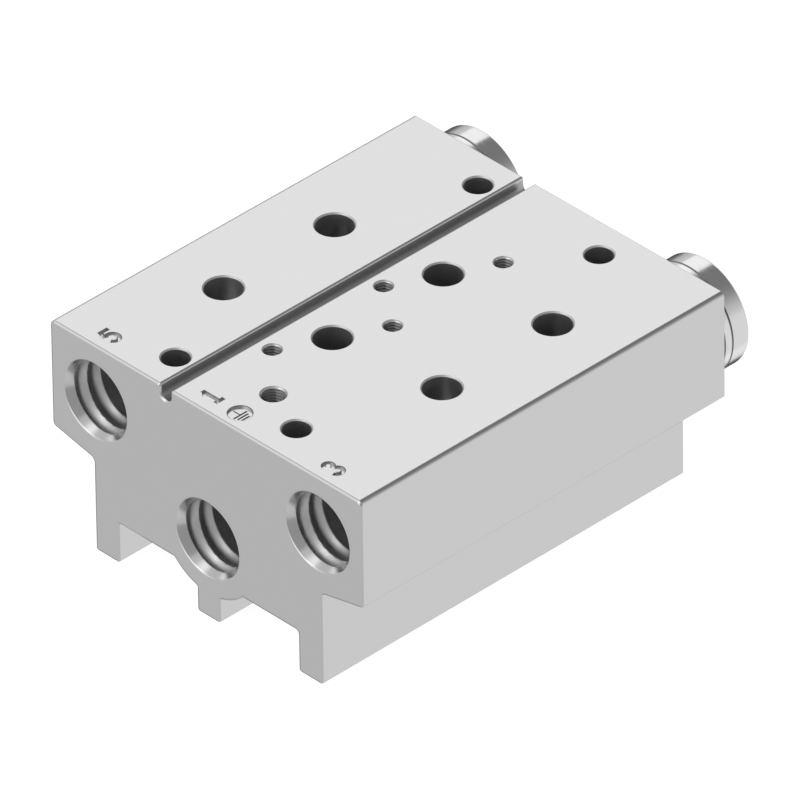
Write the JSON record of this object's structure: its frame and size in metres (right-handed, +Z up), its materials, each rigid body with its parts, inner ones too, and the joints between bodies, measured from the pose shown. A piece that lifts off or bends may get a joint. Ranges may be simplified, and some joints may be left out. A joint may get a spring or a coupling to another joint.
{
  "type": "valve manifold base",
  "caption": "Extruded aluminium base that feeds and exhausts valves on its top face, with tapped end ports, feet that straddle a rail and screw plugs in the far ends of its galleries.",
  "frame": {"origin": "middle of the underside of the centre foot", "axes": "X across the extrusion, Y along it from the open ports to the plugs, Z up through the valve face"},
  "size_m": [0.0632, 0.0772, 0.036],
  "materials": {
    "aluminium": "clear anodised, fine matt",
    "nickel_plate": "bright nickel plate on brass",
    "ring_aluminium": "bright turned aluminium"
  },
  "bodies": {
    "root": {"manifold_block": "aluminium", "sealing_ring_5": "ring_aluminium", "blanking_plug_5": "nickel_plate", "sealing_ring_1": "ring_aluminium", "blanking_plug_1": "nickel_plate", "sealing_ring_3": "ring_aluminium", "blanking_plug_3": "nickel_plate"}
  },
  "joints": []
}
